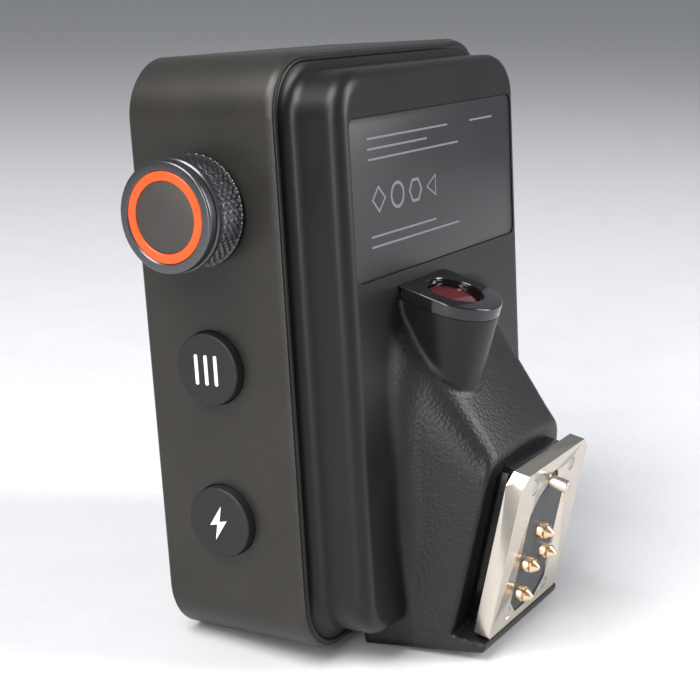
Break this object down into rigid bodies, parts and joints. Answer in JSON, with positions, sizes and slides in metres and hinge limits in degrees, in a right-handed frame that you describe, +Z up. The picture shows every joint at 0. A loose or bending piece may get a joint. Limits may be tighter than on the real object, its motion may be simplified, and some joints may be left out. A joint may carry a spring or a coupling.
{
  "type": "wireless flash trigger",
  "caption": "Pocket flash controller: grained side frame, knurled dial and round push buttons, black back with a wedge, focus lamp and tilted hot-shoe foot with sprung contacts.",
  "frame": {"origin": "middle of the bounding box at the table, standing on its lower end", "axes": "+Z up from the table, +X towards the dial and buttons, +Y from the screen towards the foot; the body leans 4.3 degrees towards -Y because it rests on the frame's front lower edge and the wedge's chin"},
  "size_m": [0.0534, 0.0444, 0.0681],
  "materials": {
    "frame_paint": "satin bronze-grey paint with fine grain",
    "screen_glass": "glossy black glass",
    "black_tape": "matte",
    "display": "glossy",
    "inner_plastic": "matte moulded",
    "circuit_board": "solder mask",
    "tin_plate": "tin plated",
    "copper": "satin",
    "battery_foil": "matte foil",
    "foam": "matte foam",
    "flex_film": "polyimide film",
    "jack_plastic": "matte moulded",
    "cover_plastic": "satin moulded with fine grain",
    "label_film": "satin film",
    "gloss_black": "polished",
    "red_lens": "clear red",
    "led_resin": "clear resin",
    "shoe_metal": "nickel plated, fine grain",
    "block_plastic": "matte moulded",
    "contact_gold": "gold plated",
    "spring_steel": "drawn wire",
    "screw_steel": "zinc plated",
    "dial_metal": "dark anodised, knurled",
    "ring_paint": "orange-red paint",
    "face_plastic": "matte",
    "plunger_plastic": "moulded",
    "button_rubber": "soft matte"
  },
  "bodies": {
    "root": {"frame_shell": "frame_paint", "screen_glass": "screen_glass", "display_tape": "black_tape", "display_module": "display", "chassis": "inner_plastic", "main_board": "circuit_board", "rf_shield": "tin_plate", "antenna": "copper", "battery": "battery_foil", "battery_pad": "foam", "display_flex": "flex_film", "usb_socket": "tin_plate", "sync_jack": "jack_plastic", "rear_cover": "cover_plastic", "rating_label": "label_film", "lamp_bezel": "gloss_black", "lamp_lens": "red_lens", "lamp_led": "led_resin", "lamp_board": "circuit_board", "shoe_base": "gloss_black", "shoe_plate": "shoe_metal", "contact_block": "block_plastic", "contact_board": "circuit_board", "shoe_flex": "flex_film", "contact_spring_1": "spring_steel", "contact_spring_2": "spring_steel", "contact_spring_3": "spring_steel", "contact_spring_4": "spring_steel", "lock_spring": "spring_steel", "shoe_screws": "screw_steel", "chassis_screws": "screw_steel", "encoder_body": "inner_plastic", "menu_switch": "tin_plate", "test_switch": "tin_plate", "side_board": "circuit_board", "side_flex": "flex_film"},
    "dial_plunger": {"encoder_plunger": "plunger_plastic"},
    "dial": {"encoder_shaft": "screw_steel", "dial_knob": "dial_metal", "dial_cap": "dial_metal", "dial_ring": "ring_paint", "dial_face": "face_plastic"},
    "menu_button": {"menu_button": "button_rubber", "menu_plunger": "plunger_plastic"},
    "test_button": {"test_button": "button_rubber", "test_plunger": "plunger_plastic"},
    "contact_pin_1": {"contact_pin_1": "contact_gold"},
    "contact_pin_2": {"contact_pin_2": "contact_gold"},
    "contact_pin_3": {"contact_pin_3": "contact_gold"},
    "contact_pin_4": {"contact_pin_4": "contact_gold"},
    "lock_pin": {"lock_pin": "shoe_metal"}
  },
  "joints": [
    {"name": "dial_press", "type": "slide", "parent": "root", "child": "dial_plunger", "axis": [-1, 0, 0], "range_m": [0, 0.00035], "stiffness_N_per_m": 2500},
    {"name": "dial_turn", "type": "hinge", "parent": "dial_plunger", "child": "dial", "pos_m": [0.02051, -0.01183, 0.05143], "axis": [1, 0, 0], "continuous": true},
    {"name": "menu_press", "type": "slide", "parent": "root", "child": "menu_button", "axis": [-1, 0, 0], "range_m": [0, 0.00035], "stiffness_N_per_m": 2500},
    {"name": "test_press", "type": "slide", "parent": "root", "child": "test_button", "axis": [-1, 0, 0], "range_m": [0, 0.00035], "stiffness_N_per_m": 2500},
    {"name": "contact_1_press", "type": "slide", "parent": "root", "child": "contact_pin_1", "axis": [0, -0.9845, 0.1756], "range_m": [0, 0.0012], "stiffness_N_per_m": 500, "deforming": ["contact_spring_1"]},
    {"name": "contact_2_press", "type": "slide", "parent": "root", "child": "contact_pin_2", "axis": [0, -0.9845, 0.1756], "range_m": [0, 0.0012], "stiffness_N_per_m": 500, "deforming": ["contact_spring_2"]},
    {"name": "contact_3_press", "type": "slide", "parent": "root", "child": "contact_pin_3", "axis": [0, -0.9845, 0.1756], "range_m": [0, 0.0012], "stiffness_N_per_m": 500, "deforming": ["contact_spring_3"]},
    {"name": "contact_4_press", "type": "slide", "parent": "root", "child": "contact_pin_4", "axis": [0, -0.9845, 0.1756], "range_m": [0, 0.0012], "stiffness_N_per_m": 500, "deforming": ["contact_spring_4"]},
    {"name": "lock_pin_press", "type": "slide", "parent": "root", "child": "lock_pin", "axis": [0, -0.9845, 0.1756], "range_m": [0, 0.0018], "stiffness_N_per_m": 600, "deforming": ["lock_spring"]}
  ]
}
